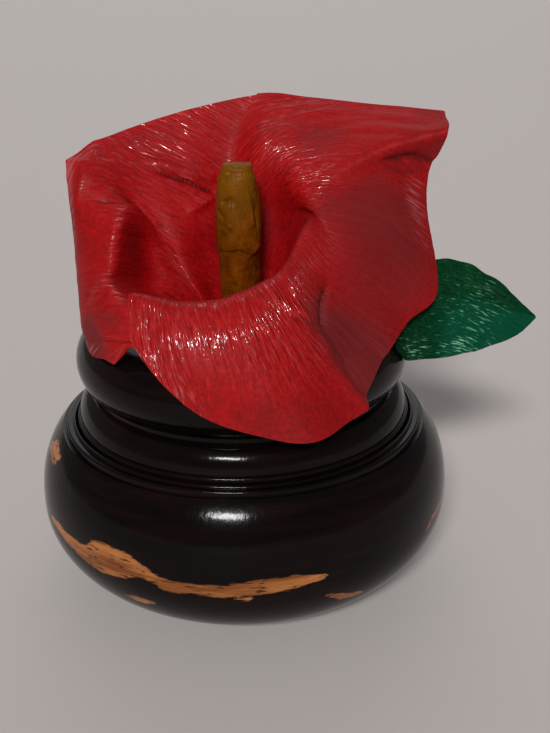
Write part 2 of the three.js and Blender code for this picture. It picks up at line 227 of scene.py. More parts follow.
# Soft spots on the spathe: rib, share of the way along it, spread in ribs, spread along, and amount.
# Crimp deepens or calms ridges, with painted light on them, and furrows, with painted shade in them;
# dusting greys the red and also paints shade on the flank that turns from the lamp, and scuffing rubs pale
# strokes into it
CRIMP_LEVEL = 0.45
CRIMP_SPOTS = [
    (8.9, 0.76, 1.5, 0.24, 0.14), (13.0, 0.64, 2.4, 0.08, 0.55), (9.95, 0.78, 0.25, 0.2, -0.3),
    (23.6, 0.68, 2.6, 0.1, 0.75), (21.6, 0.64, 1.2, 0.1, 0.5), (13.0, 0.48, 2.5, 0.08, -0.3),
    (23.2, 0.97, 2.0, 0.12, -0.4), (26.2, 0.92, 0.9, 0.12, 0.95), (4.6, 0.8, 1.8, 0.2, -0.2),
    (4.4, 0.52, 2.0, 0.05, 0.4), (13.4, 0.92, 1.4, 0.12, -0.4), (17.6, 0.82, 2.0, 0.22, -0.35),
]
# Greying by dusting, which on the lower right flank also paints shade where it turns from the lamp
DUST_AND_SHADE_SPOTS = [
    (17.9, 0.84, 2.2, 0.24, 0.46), (15.6, 0.77, 2.4, 0.2, 0.28), (20.8, 0.9, 1.1, 0.24, 0.95),
    (12.2, 0.77, 1.1, 0.09, 0.45), (2.7, 0.88, 0.5, 0.2, 0.9), (8.4, 0.86, 1.6, 0.12, 0.35),
    (13.6, 0.93, 1.3, 0.12, -0.6), (1.6, 0.68, 0.9, 0.14, 0.5),
]
SCUFF_SPOTS = [
    (6.2, 0.95, 2.4, 0.1, 0.8), (16.8, 0.95, 1.1, 0.06, 0.7), (2.9, 0.94, 0.6, 0.16, 0.6),
    (26.0, 0.5, 1.5, 0.05, 0.4), (10.2, 0.9, 0.8, 0.12, 0.4),
]

# Spadix, stem, leaf and stalk
STEM_RADIUS = 2.4
STEM_LOW, STEM_HIGH = (corner[2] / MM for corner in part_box("stem"))
SPADIX_LOW, SPADIX_HIGH = (corner[2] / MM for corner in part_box("spadix"))
SPADIX_PROFILE = [(3.4, 0.0), (5.3, 0.25), (5.85, 0.55), (5.5, 0.78), (4.5, 0.92), (3.7, 0.965)]
SPADIX_GRID = (200, 230)
CAP_POWER = 4
# Lower edge of its outer wrap: height, (swing, waves round, start) of its rags, depth and slope of the step
WRAP_EDGE = 89.0
WRAP_RAGS = [(0.5, 3, 0.6), (0.3, 7, 0.0)]
WRAP_DEPTH = 0.4
WRAP_SLOPE = 0.2
# Uneven roll: (height, waves round, climb, start) of its lumps, the radius under which they fade, and the
# dip between two bumps on the tip with the shares of the height where it comes in
ROLL_LUMPS = [(0.14, 2, 9, 0), (0.1, 3, -17, 1)]
LUMP_FADE = 3.0
TIP_DIP = 0.35
TIP_SHARES = (0.93, 0.98)
# Small pressed wrinkles: degrees round and height at both ends, and rise
SPADIX_WRINKLES = [
    (-140, 101.2, -112, 101.9, -0.68), (-155, 99.2, -130, 97.4, -0.595), (-150, 96.6, -122, 95.2, -0.51),
    (-128, 93.5, -112, 95.5, 0.51), (-71, 87.2, -36, 90.2, 0.68), (-60, 104.0, -48, 96.0, 0.425),
    (-40, 100.0, -30, 92.0, -0.51), (-146, 106.3, -118, 107.8, -0.68), (-95, 98.0, -80, 91.5, 0.34),
    (40, 98.0, 70, 96.0, -0.595), (100, 92.0, 130, 94.0, 0.51), (20, 86.0, 50, 84.0, -0.595),
    (150, 102.0, 175, 100.0, -0.51), (95, 104.5, 120, 103.0, -0.51),
]
WRINKLE_WIDTH = 0.6
WRINKLE_POWER = 1.3
WRINKLE_STEPS = 6
# Leaf: spine points, then widths below and above the spine at equal steps from base to tip, both in
# hundredths of the rim's radius
LEAF_SPINE = [(106, -36, 3), (140, -14, 4), (172, -5, 4), (202, -2, -2), (235, 0, -10)]
LEAF_WIDTHS = [(27, 9), (34, 26), (38, 35), (40, 40), (41, 41), (39, 40), (36, 37), (30, 32), (24, 26),
               (15, 13), (1, 1)]
LEAF_GRID = (260, 120)
LEAF_LEAN = 52.0
LEAF_FOLD = 7.0
LEAF_BEND = 6
LEAF_SEED = 21
# Leaf grain: how far it runs across and along from base to tip, and its slope from the spine outwards
LEAF_SLANT = 13
LEAF_RUN = 41
LEAF_SLOPE = 0.25
# Shares of the leaf's length where its waves come up and fade again
LEAF_START = (0.0, 0.1)
LEAF_END = (1.0, 0.93)
# Patches of painted glints on the leaf, where it is also crimped more: share along, side, spread along,
# spread in side, amount
LEAF_GLINT_PATCHES = [(0.5, -0.85, 0.24, 0.35, 0.36), (0.12, -0.75, 0.14, 0.35, 0.32), (0.7, 0.4, 0.2, 0.6, 0.27),
             (0.35, 0.2, 0.2, 0.5, 0.18), (0.62, -0.3, 0.24, 0.3, 0.2)]
# Leaf looks: crimp everywhere and more in the glint patches, painted glints everywhere, and the teal tone
# by length and side
LEAF_CRIMP = 0.3
GLINT_CRIMP = 0.6
LEAF_GLINT_LEVEL = 0.16
LEAF_TEAL = 0.9
TEAL_SHARES = (0.1, 0.6)
TEAL_SIDES = (0.6, -0.4)
STALK_RADIUS = 1.0
STALK_SIDE = 5.5
STALK_BEND = 26.0
STALK_CLEAR = 0.8
# Turns in radians between which the stalk lies over the rim, read at so many marks; how far it starts
# short of the leaf's base and ends above the floor
STALK_TURNS = (1.35, 2.9)
STALK_MARKS = 5
STALK_SHORT = 1.4
STALK_FOOT = 0.3
# Wires: steps along them, sides, radii to a turn of the wound strip, height of its edge as a share of the
# radius, a direction that no wire runs in, and how far the points that close the ends stand out
STEM_STEPS = 120
STALK_STEPS = 160
WIRE_SIDES = 24
WIND_RADII = 4
WIND_STEP = 0.06
WIRE_ASIDE = (0.31, 0.95, 0.05)
END_STEP = 0.01
END_SHARE = 0.02

# Camera at the photograph's place: focal length in pixels for an image 733 pixels high
CAMERA_BACK = 246.65
CAMERA_HEIGHT = 159.18
CAMERA_PITCH = 0.3976
CAMERA_YAW = 0.0352
CAMERA_ROLL = -0.0145
FOCAL_PIXELS = 999.0
IMAGE_HEIGHT = 733.0

# Stage: half the floor's width in metres, and azimuths of the key lamps in degrees
FLOOR_REACH = 40.0
KEY_TURNS = (-18, -12, -6)


def smooth(value, low, high):
    """Smooth step: 0 up to low, 1 from high on, an S curve between."""
    share = np.clip((value - low) / (high - low), 0, 1)
    return share * share * (3 - 2 * share)


def catmull(rows, spots):
    """Catmull-Rom spline through rows of points, read at spots counted in rows, ends reflected."""
    padded = np.concatenate([[2 * rows[0] - rows[1]], rows, [2 * rows[-1] - rows[-2]]])
    first = np.clip(np.floor(spots).astype(int), 0, len(rows) - 2)
    share = (spots - first).reshape((-1,) + (1,) * (rows.ndim - 1))
    before, start, end, after = (padded[first + step] for step in range(4))
    square = (2 * before - 5 * start + 4 * end - after) * share ** 2
    cube = (3 * start - before - 3 * end + after) * share ** 3
    return 0.5 * (2 * start + (end - before) * share + square + cube)


def arc_lengths(points, axis):
    """Distance walked along one axis of a grid of points, from 0 at its start."""
    steps = np.linalg.norm(np.diff(points, axis=axis), axis=-1)
    walked = np.cumsum(steps, axis=axis)
    start = np.zeros_like(np.take(walked, [0], axis=axis))
    return np.concatenate([start, walked], axis=axis)


def grid_normals(points):
    """Unit normals of a grid of points: the cross product of its two difference directions."""
    normals = np.cross(np.gradient(points, axis=0), np.gradient(points, axis=1))
    return normals / np.maximum(np.linalg.norm(normals, axis=-1, keepdims=True), NEAR_ZERO)


def crinkle(seed, across, along, waves):
    """Crepe height: sine ridges across the grain whose pitch differs from wave to wave, and which swing
    sideways and fade slowly along the grain. Their sum is divided by the root of their number."""
    height, pitch, length, count = waves
    chance = np.random.default_rng(seed)
    total = np.zeros_like(across)
    for _ in range(count):
        step = pitch * chance.uniform(0.75, 1.5)
        size = WAVE_SWING * chance.uniform(0.5, 1.1)
        drift = along / (length * chance.uniform(0.7, 1.6)) + across / (SWING_SLANT * step)
        swing = size * np.sin(2 * np.pi * drift + chance.uniform(0, WAVE_STARTS))
        drift = along / (length * chance.uniform(0.9, 2.0)) - across / (FADE_SLANT * step)
        fade = np.sin(2 * np.pi * drift + chance.uniform(0, WAVE_STARTS))
        ridge = np.sin(2 * np.pi * across / step + swing + chance.uniform(0, WAVE_STARTS))
        total += (FADE_LEVEL + (1 - FADE_LEVEL) * fade) * ridge
    return height * total / math.sqrt(count)


def fold_height(points, folds):
    """Height that the pressed folds add: for each fold, its height times a curve that falls with the
    distance from the line through its points, sharp at a low power and bell-shaped at two. A fold fades
    in over the first part of its line."""
    total = np.zeros(points.shape[:-1])
    for path, width, power, height in folds:
        start, run = path[:-1], np.diff(path, axis=0)
        size = np.linalg.norm(run, axis=1)
        offset = points[..., None, :] - start
        share = np.clip((offset * run).sum(-1) / size ** 2, 0, 1)
        gap = np.linalg.norm(offset - share[..., None] * run, axis=-1)
        nearest = gap.argmin(-1)[..., None]
        walked = np.take_along_axis(np.cumsum(size) - size + share * size, nearest, -1)[..., 0]
        gap = np.take_along_axis(gap, nearest, -1)[..., 0]
        total += height * smooth(walked / size.sum(), *FOLD_FADE) * np.exp(-(gap / width) ** power)
    return total


def soft_spots(ribs, along, spots):
    """Sum of bell-shaped spots over ribs and the way along them."""
    total = 0.0
    for rib, share, wide, long, amount in spots:
        total = total + amount * np.exp(-((ribs - rib) / wide) ** 2 - ((along - share) / long) ** 2)
    return total


def rest_on_rim(points, gap):
    """Moves points that lie in the rim's oval section, grown by a gap, straight out to its surface."""
    reach = np.linalg.norm(points[..., :2], axis=-1)
    depth = np.hypot((reach - RIM_RADIUS) / (RIM_BODY + gap), (points[..., 2] - RIM_Z) / (RIM_RISE + gap))
    push = 1 / np.clip(depth, NEAR_ZERO, 1)
    seated = RIM_RADIUS + (reach - RIM_RADIUS) * push
    turned = points[..., :2] * (seated / np.maximum(reach, NEAR_ZERO))[..., None]
    return np.concatenate([turned, (RIM_Z + (points[..., 2] - RIM_Z) * push)[..., None]], axis=-1)


def above_rim(shares):
    """Points given in hundredths of the rim's radius, counted from the middle of the rim's top."""
    return np.array(shares) * RIM_UNIT + (0, 0, RIM_TOP)


def quads(index):
    """Four-cornered faces of a grid of corner numbers."""
    return np.stack([index[:-1, :-1], index[1:, :-1], index[1:, 1:], index[:-1, 1:]], -1).reshape(-1, 4)


def sheet_faces(columns, rows):
    """Faces of a closed sheet: front grid, back grid turned over, and a band round the rim."""
    front = np.arange(columns * rows).reshape(columns, rows)
    back = front + columns * rows
    rim = np.concatenate([front[:-1, 0], front[-1, :-1], front[:0:-1, -1], front[0, :0:-1]])
    after = np.roll(rim, -1)
    band = np.stack([after, rim, rim + columns * rows, after + columns * rows], -1)
    return np.concatenate([quads(front), quads(back)[:, ::-1], band]).tolist()


def turned_faces(columns, rows):
    """Faces of a grid of rings that closes on itself round the first axis."""
    index = np.arange(columns * rows).reshape(columns, rows)
    return quads(np.concatenate([index, index[:1]])).tolist()


def add_mesh(name, points, faces, material, node, uv=None, values=None, crisp=CRISP):
    """Makes one piece from points in millimetres and lists of corners, and puts it in the frame."""
    mesh = bpy.data.meshes.new(name)
    mesh.from_pydata((points.reshape(-1, 3) * MM).tolist(), [], faces)
    corner = np.empty(len(mesh.loops), dtype=np.int32)
    mesh.loops.foreach_get("vertex_index", corner)
    if uv is not None:
        layer = mesh.uv_layers.new(name="grain")
        layer.data.foreach_set("uv", uv.reshape(-1, 2)[corner].astype(np.float32).ravel())
    for title, value in (values or {}).items():
        layer = mesh.attributes.new(title, "FLOAT", "POINT")
        layer.data.foreach_set("value", value.astype(np.float32).ravel())
    mesh.materials.append(material)
    mesh.shade_smooth()
    mesh.set_sharp_from_angle(angle=math.radians(crisp))
    piece = bpy.data.objects.new(name, mesh)
    bpy.context.collection.objects.link(piece)
    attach(piece, "root")
    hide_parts(node)


def add_sheet(name, node, material, points, lift, grain, values):
    """Makes a sheet of paper: its middle surface is lifted along its normals, laid on the rim, then given
    paper thickness. Its grain map holds the distances across and along the grain in centimetres."""
    middle = rest_on_rim(points + grid_normals(points) * lift[..., None], REST_GAP)
    half = grid_normals(middle) * PAPER / 2
    sides = np.stack([middle + half, middle - half])
    uv = np.stack(grain, -1) / 10
    add_mesh(name, sides, sheet_faces(*points.shape[:2]), material, node, uv=np.stack([uv, uv]),
             values={title: np.stack([value, value]) for title, value in values.items()}, crisp=PAPER_CRISP)


class Flow:
    """One value in a material's nodes. Arithmetic on it adds Math nodes."""

    def __init__(self, tree, socket=None):
        self.tree = tree
        self.socket = socket

    def node(self, kind, settings, inputs, output=0):
        """Adds a node of a kind, sets its settings, then gives its sockets values or links."""
        made = self.tree.nodes.new("ShaderNode" + kind)
        for name, value in settings.items():
            setattr(made, name, value)
        for name, value in inputs.items():
            if isinstance(value, Flow):
                self.tree.links.new(value.socket, made.inputs[name])
            else:
                made.inputs[name].default_value = value
        return Flow(self.tree, made.outputs[output])

    def math(self, operation, first, second):
        """Adds a Math node for two values."""
        return self.node("Math", {"operation": operation}, {0: first, 1: second})

    def __add__(self, other):
        return self.math("ADD", self, other)

    __radd__ = __add__

    def __sub__(self, other):
        return self.math("SUBTRACT", self, other)

    def __rsub__(self, other):
        return self.math("SUBTRACT", other, self)

    def __mul__(self, other):
        return self.math("MULTIPLY", self, other)

    __rmul__ = __mul__

    def between(self, low, high):
        """Smooth step of this value from 0 at low to 1 at high."""
        return self.node("MapRange", {"interpolation_type": "SMOOTHSTEP"},
                         {"Value": self, "From Min": low, "From Max": high})

    def colours(self, first, second):
        """Blend of two colours: the first where this value is 0, the second where it is 1."""
        return self.node("Mix", {"data_type": "RGBA"}, {0: self, 6: first, 7: second}, output=2)

    def place(self):
        """Place in the piece's own space, in metres."""
        return self.node("TexCoord", {}, {}, output="Object")

    def parts(self):
        """The three numbers of this vector."""
        split = self.node("SeparateXYZ", {}, {0: self}).socket.node
        return [Flow(self.tree, output) for output in split.outputs]

    def stretch(self, x, y, z):
        """This vector with each of its numbers multiplied."""
        return self.vector(*(part * scale for part, scale in zip(self.parts(), (x, y, z))))

    def vector(self, x, y, z):
        """Vector from three numbers."""
        return self.node("CombineXYZ", {}, {0: x, 1: y, 2: z})

    def noise(self, place, scale=1.0, detail=2.0, rough=0.5, distortion=0.0):
        """Noise read at a place, about 0 to 1."""
        return self.node("TexNoise", {}, {"Vector": place, "Scale": scale, "Detail": detail,
                                          "Roughness": rough, "Distortion": distortion})

    def bump(self, height, distance, strength):
        """Normal of a surface roughened by a height; distance in metres."""
        return self.node("Bump", {}, {"Height": height, "Distance": distance, "Strength": strength})

    def attribute(self, title):
        """Number stored on the piece's points under a title."""
        return self.node("Attribute", {"attribute_name": title}, {}, output="Fac")


def rgb(red, green, blue):
    """Colour written as it shows on a screen, 0 to 255, turned into light."""
    parts = [value / 255 for value in (red, green, blue)]
    light = [part / 12.92 if part <= 0.04045 else ((part + 0.055) / 1.055) ** 2.4 for part in parts]
    return (*light, 1.0)


def new_material(name, colour, constants):
    """A material whose shader has fixed values, and a Flow to add nodes with."""
    material = bpy.data.materials.new(name)
    material.use_nodes = True
    material.diffuse_color = colour
    shader = material.node_tree.nodes["Principled BSDF"]
    for title, value in constants.items():
        shader.inputs[title].default_value = value
    return material, shader, Flow(material.node_tree)


def feed(shader, flows):
    """Links flows to the sockets of a shader that their titles name."""
    for title, flow in flows.items():
        flow.tree.links.new(flow.socket, shader.inputs[title])


def crepe_material(name, dark, deep, bright, dusty, pale, pitch, depth, haze):
    """Crepe paper, waxy on its ridges and dull between. Ridges and furrows run along the grain, read
    from the piece's own grain map, with painted light on the ridge crests and painted shade in the furrows;
    its attributes deepen them, grey the paper and paint shade on it, rub pale strokes into it, which on the
    leaf are painted glints, and paint shade into pressed folds."""
    material, dull, flow = new_material(name, bright, {"Specular IOR Level": haze, "Roughness": 0.55})
    across, along, _ = flow.node("UVMap", {"uv_map": "grain"}, {}).parts()
    place = flow.place()
    crimp, dust, scuff_and_glint, press = (flow.attribute(title) for title in ("crimp", "dust", "scuff_and_glint", "press"))

    def streaks(step, length, drift):
        """Noise drawn out along the grain, with a step across it and a length along it in millimetres."""
        run = flow.vector(across * (10.0 / step), along * (10.0 / length), drift)
        return flow.noise(run, rough=0.55, distortion=0.35)

    fine = streaks(pitch, 4.5 * pitch, 3.0)
    broad = streaks(2.8 * pitch, 24.0 * pitch, 8.0)
    patches = flow.noise(place, 70.0, detail=3.0)
    strokes = streaks(1.1 * pitch, 7.0 * pitch, 5.0)
    mottle = flow.noise(place, 1100.0)
    # Painted light: the crests of the fine ridges are painted brighter and their valleys deeper, mixed with
    # random mottled tone
    ridge_light_and_mottle = ((fine - 0.25) * crimp + mottle * 0.6 + patches * 0.4 - 0.11).between(0.2, 0.8)
    # Painted shade: dark lines along the furrows, stronger where the paper is more crimped, and dark colour
    # in pressed folds by their depth
    furrow_shade = (0.47 - streaks(1.3 * pitch, 18.0 * pitch, 11.0)) * crimp
    shade = (press + furrow_shade * 3.5).between(0.1, 0.9)
    body = (shade * 0.75).colours(ridge_light_and_mottle.colours(deep, bright), dark)
    # Greying by dusting, which also paints shade on the flank that turns from the lamp; on the leaf it is
    # the teal tone
    dust_shade_and_glint = (dust * 1.25 + strokes * 0.5 + mottle * 0.4 + patches * 0.4 - 0.85).between(0.0, 0.7)
    # Pale strokes from rubbing, which on the leaf are painted glints
    rubbed_and_glints = (scuff_and_glint + strokes * 1.6 - 1.3).between(0.0, 0.4)
    looks = {
        "Base Color": (rubbed_and_glints * 0.7).colours((dust_shade_and_glint * 0.8).colours(body, dusty), pale),
        "Normal": flow.bump((fine * 0.6 + broad * 0.8) * crimp, depth, 1.0),
    }
    feed(dull, looks)
    waxy = flow.node("BsdfPrincipled", {}, {
        "IOR": 1.8, "Specular IOR Level": 1.0, "Roughness": 0.12, **looks})
    shine = crimp.between(0.25, 0.85) * (0.05 + fine.between(0.5, 0.68)) - dust_shade_and_glint * 0.5
    mixed = flow.node("MixShader", {}, {0: shine, 1: Flow(flow.tree, dull.outputs[0]), 2: waxy})
    feed(flow.tree.nodes["Material Output"], {"Surface": mixed})
    return material


def wood_material():
    """Dark turned wood under a thin clear gloss: darker and redder lines lie in the wood's layers, and pale
    sapwood shows where the piece's own sapwood attribute, made ragged by noise, is above 0."""
    material, shader, flow = new_material(
        "dark_turned_wood", rgb(26, 15, 13),
        {"Specular IOR Level": 0.12, "Coat Weight": 0.03, "Coat Roughness": 0.1})
    place = flow.place()
    fibre = flow.noise(place.stretch(30.0, 60.0, 420.0), detail=4.0, rough=0.6, distortion=0.4)
    figure = flow.noise(place.stretch(18.0, 30.0, 90.0))
    heart = (fibre * 0.6 + figure * 0.5).between(0.4, 0.75).colours(rgb(6, 4, 4), rgb(22, 10, 8))
    pores = flow.noise(place.stretch(900.0, 900.0, 300.0))
    ragged = flow.noise(place.stretch(120.0, 120.0, 420.0), detail=4.0, rough=0.65)
    dashes = flow.noise(place.stretch(260.0, 260.0, 1500.0))
    field = flow.attribute("sapwood") + (ragged - 0.5) * 2.2 + (dashes - 0.5) * 2.0
    pale = field.between(-0.2, 0.3) * (1.0 - 0.8 * dashes.between(0.57, 0.66))
    sap = fibre.between(0.3, 0.7).colours(rgb(112, 61, 28), rgb(178, 112, 62))
    feed(shader, {
        "Base Color": pale.colours(heart, sap),
        "Roughness": 0.1 + fibre * 0.08,
        "Normal": flow.bump(pores, 0.00004, 1.0),
    })
    return material


def wrapped_material(name, low, high, tip):
    """Smooth wrapped paper with fine fibres and crumples, in the tip's tone where the piece's own reach
    attribute nears 1."""
    material, shader, flow = new_material(name, high, {"Specular IOR Level": 0.1})
    place = flow.place()
    reach = flow.attribute("reach")
    fibre = flow.noise(place.stretch(1500.0, 1500.0, 220.0), detail=3.0)
    blotch = flow.noise(place, 130.0, detail=3.0)
    crumple = flow.noise(place, 420.0, detail=3.0)
    body = (blotch * 0.5 + fibre * 0.2 + crumple * 0.3).between(0.32, 0.68).colours(low, high)
    feed(shader, {
        "Base Color": (reach.between(0.45, 1.0) * 0.75).colours(body, tip),
        "Roughness": 0.2 + blotch * 0.2,
        "Normal": flow.bump(fibre * 0.25 + blotch + crumple * 0.5, 0.0012, 0.8),
    })
    return material


# Red crepe: its dark colour is painted shade for folds and furrows, deep to bright carries painted light on
# the ridge crests, and its greyish red also paints shade on the flank
RED = crepe_material(
    "red_waxed_crepe", dark=rgb(76, 1, 4), deep=rgb(124, 2, 6), bright=rgb(180, 6, 11),
    dusty=rgb(104, 30, 32), pale=rgb(168, 88, 88), pitch=0.85, depth=0.001, haze=0.2)
# Green crepe: its dark colour is painted shade for furrows, deep to bright carries painted light on the
# ridge crests, the teal is its own tone and the pale colour paints glints
GREEN = crepe_material(
    "green_waxed_crepe", dark=rgb(1, 20, 10), deep=rgb(1, 33, 16), bright=rgb(4, 64, 33),
    dusty=rgb(3, 70, 48), pale=rgb(140, 215, 172), pitch=0.42, depth=0.0006, haze=0.05)
OCHRE = wrapped_material("ochre_wrapped_paper", rgb(70, 31, 1), rgb(128, 64, 3), rgb(120, 74, 4))
WIRE = wrapped_material("green_wrapped_wire", rgb(52, 66, 22), rgb(74, 92, 34), rgb(84, 100, 40))
WOOD = wood_material()


def oval_arc(radius, height, across, up, start, end, steps, fullness=2.0):
    """Arc of an oval in the pot's section from one turn to another: radius plus the cosine and height plus
    the sine, each raised to two over the fullness."""
    turn = np.linspace(start, end, steps)
    sides = np.stack([np.cos(turn), np.sin(turn)], -1)
    swell = np.sign(sides) * np.abs(sides) ** (2 / fullness)
    return np.array([radius, height]) + swell * np.array([across, up])


def pot_section():
    """The pot's turned section from the middle of the foot up the outside, over the rolled rim, down the
    bore and back to the axis."""
    share = ((SHOULDER_RADIUS - CORE_RADIUS) / BELLY_DEPTH) ** SHOULDER_FULLNESS
    end_z = BELLY_HEIGHT + SHOULDER_RISE * (1 - share) ** (1 / SHOULDER_FULLNESS)
    shoulder_end = math.acos(math.sqrt(share))
    collar_end = math.acos((NECK_RADIUS - COLLAR_RADIUS + COLLAR_DEPTH) / COLLAR_DEPTH)
    rim_start = -math.acos((NECK_RADIUS - RIM_RADIUS) / RIM_BODY)
    bore = RIM_RADIUS - RIM_BODY

    def bead(ring):
        """Quarter round at a ring of the mouldings."""
        return oval_arc(ring[0], end_z + ring[1], BEAD_RADIUS, BEAD_RADIUS, 0.0, BEAD_END, BEAD_STEPS)

    def spot(ring):
        """Single point at a ring of the mouldings."""
        return [(ring[0], end_z + ring[1])]

    return np.concatenate([
        [(0.0, 0.0), (CORE_RADIUS * FOOT_RING, 0.0)],
        oval_arc(CORE_RADIUS, BELLY_HEIGHT, BELLY_DEPTH, BELLY_HEIGHT, -math.pi / 2, 0, BELLY_STEPS),
        oval_arc(CORE_RADIUS, BELLY_HEIGHT, BELLY_DEPTH, SHOULDER_RISE, 0, shoulder_end, SHOULDER_STEPS,
                 SHOULDER_FULLNESS)[1:],
        spot(QUIRK), bead(OUTER_BEAD), bead(INNER_BEAD), spot(GROOVE), bead(FOOT_BEAD),
        oval_arc(COLLAR_RADIUS - COLLAR_DEPTH, end_z + COLLAR_LIFT, COLLAR_DEPTH, COLLAR_RISE,
                 COLLAR_START, collar_end, COLLAR_STEPS),
        oval_arc(RIM_RADIUS, RIM_Z, RIM_BODY, RIM_RISE, rim_start, math.pi, RIM_STEPS),
        [(bore, height) for height in (*BORE_RINGS, POT_FLOOR + FLOOR_ROUNDING)],
        [(radius, POT_FLOOR) for radius in (bore - FLOOR_ROUNDING, bore * FLOOR_RING, 0.0)],
    ])


def sapwood_field(turn, height):
    """Millimetres inside the nearest pale streak, negative outside: half width less distance, along the
    unrolled belly."""
    best = np.full(np.broadcast(turn, height).shape, SAPWOOD_FAR)
    for streak in SAPWOOD:
        streak = np.array(streak)
        spots = catmull(streak, np.linspace(0, len(streak) - 1, SAPWOOD_STEPS))
        for low, high in zip(spots[:-1], spots[1:]):
            run = np.array([math.radians(high[0] - low[0]) * BELLY_RADIUS, high[1] - low[1]])
            bend = (turn - math.radians(low[0]) + np.pi) % (2 * np.pi) - np.pi
            across, up = bend * BELLY_RADIUS, height - low[1]
            share = np.clip((across * run[0] + up * run[1]) / max(run @ run, NEAR_ZERO), 0, 1)
            gap = np.hypot(across - share * run[0], up - share * run[1])
            best = np.maximum(best, low[2] + share * (high[2] - low[2]) - gap)
    return best


def make_pot():
    """Turned pot: the section's radius swept round the axis, height kept."""
    section = pot_section()
    turn = np.linspace(0, 2 * np.pi, POT_TURNS, endpoint=False)[:, None]
    points = np.stack(np.broadcast_arrays(
        section[:, 0] * np.cos(turn), section[:, 0] * np.sin(turn), section[:, 1]), -1)
    field = sapwood_field(turn, section[:, 1])
    add_mesh("pot_turned", points, turned_faces(*points.shape[:2]), WOOD, "pot",
             values={"sapwood": field})


def spathe_net():
    """Seven points on each rib: foot, throat, throat wall, then crest, shoulder, skirt and cut edge. On the
    left half the hidden ones step outwards and down from the seam on, to clear the right half."""
    turn = np.radians([rib[0] for rib in SPATHE_RIBS])
    shown = above_rim([rib[1:] for rib in SPATHE_RIBS])
    layer = WRAP_STEP * smooth(SEAM_RIB - np.arange(len(turn)), 0, SEAM_RIB - WRAP_RIB)

    def ring(radius, height):
        """Points at a radius and a height, one for each rib's turn."""
        return np.stack(np.broadcast_arrays(radius * np.cos(turn), radius * np.sin(turn), height), -1)

    base = ring(STEM_RADIUS + FOOT_GAP + layer, RIM_TOP - BASE_DROP)
    throat = ring(THROAT_RADIUS + layer, RIM_TOP + THROAT_LIFT - layer)
    swell = WALL_SWELL * (1 - np.sin(turn))
    wall = (throat + shown[:, 0]) / 2 + ring(swell, -WALL_SAG * swell - layer)
    net = np.concatenate([np.stack([base, throat, wall], 1), shown], 1)
    net[[rib for rib, *_ in POCKET], 1:3] = above_rim([places for _, *places in POCKET])
    return net


def spathe_points(ribs, along):
    """Middle surface of the spathe: splines along the ribs, then across them. By the outer part of a
    creased rib the paper runs straight from rib to rib instead, which leaves a sharp fold or corner."""
    net = spathe_net()
    lines = catmull(net.transpose(1, 0, 2), along * (net.shape[1] - 1)).transpose(1, 0, 2)
    rounded = catmull(lines, ribs)
    first = np.clip(ribs.astype(int), 0, len(lines) - 2)
    part = (ribs - first)[:, None, None]
    straight = lines[first] * (1 - part) + lines[first + 1] * part
    sharp = np.zeros((len(ribs), len(along)))
    for rib, start, full in CREASES:
        sharp += (1 - smooth(np.abs(ribs - rib), *CREASE_REACH))[:, None] * smooth(along, start, full)
    return rounded + (straight - rounded) * sharp[..., None]


def on_spathe(path):
    """Points of the spathe's middle surface at pairs of rib and share of the way along it."""
    ribs, along = np.array(path).T
    each = np.arange(len(path))
    return spathe_points(ribs, along)[each, each]


def left_grain(points, ribs, along):
    """Grain of the left half, as distances across and along it in millimetres: level lines over the side
    panel, which slope down towards the seam on the back wall and climb on the turned-back strip."""
    x, y, z = np.moveaxis(points, -1, 0)
    slope = WALL_SLOPE * smooth(ribs, *WALL_RIBS)
    strip = smooth(along, *STRIP_ALONG) * (1 - smooth(ribs, *STRIP_RIBS))
    level = PANEL_GRAIN[0] * y + PANEL_GRAIN[1] * z
    return level + slope * (x - WALL_PLACE) - strip * (x - STRIP_PLACE), x


def right_grain(points, from_seam):
    """Grain of the right half, as distances across and along it in millimetres: turned away from the ribs
    near the seam, it comes round to follow them on the front flap."""
    walked = arc_lengths(points, 1)
    turn = math.radians(SEAM_TURN) * (1 - smooth(from_seam, *SEAM_REACH))
    across = from_seam * np.cos(turn) - walked * np.sin(turn)
    return across, from_seam * np.sin(turn) + walked * np.cos(turn)


def make_spathe_half(name, node, first, last, columns, rows, folds, seed, left):
    """Half of the spathe. Columns stand evenly along the cut edge. The middle surface is lifted by folds,
    crepe ridges, broad swells and edge ripples. The left half steps down under the right at the seam."""
    spread = np.linspace(first, last, EVEN_STEPS)
    walked = arc_lengths(spathe_points(spread, np.array([EVEN_SHARE]))[:, 0], 0)
    places = np.linspace(0, walked[-1], columns)[:, None]
    ribs = np.interp(places, walked, spread)
    along = np.linspace(0, 1, rows)
    points = spathe_points(ribs[:, 0], along)
    grain = left_grain(points, ribs, along) if left else right_grain(points, places)
    crimp = CRIMP_LEVEL + soft_spots(ribs, along, CRIMP_SPOTS)
    shown = smooth(along, *RIDGE_START) * (1 - EDGE_CALM * smooth(along, *RIDGE_EASE))
    free = smooth(along, *FREE_SHARES)
    pressed = fold_height(points, [(on_spathe(path), *section) for path, *section in folds])
    lift = pressed + crimp ** 2 * shown * crinkle(seed, *grain, RIDGES)
    lift += shown * (1 + free) * crinkle(seed + 1, *grain, SWELLS)
    lift += smooth(along, *RIPPLE_SHARES) * crinkle(seed + 2, *grain, EDGE_RIPPLES)
    if left:
        lift -= LAP_STEP * smooth(ribs - SEAM_RIB, *LAP_RIBS)
    # Attributes: crimp, greying that also paints shade on the flank, pale strokes, and the depth of pressed
    # folds, which paints shade into them
    add_sheet(name, node, RED, points, lift, grain, {
        "crimp": crimp, "dust": soft_spots(ribs, along, DUST_AND_SHADE_SPOTS),
        "scuff_and_glint": soft_spots(ribs, along, SCUFF_SPOTS), "press": np.maximum(-pressed, 0)})


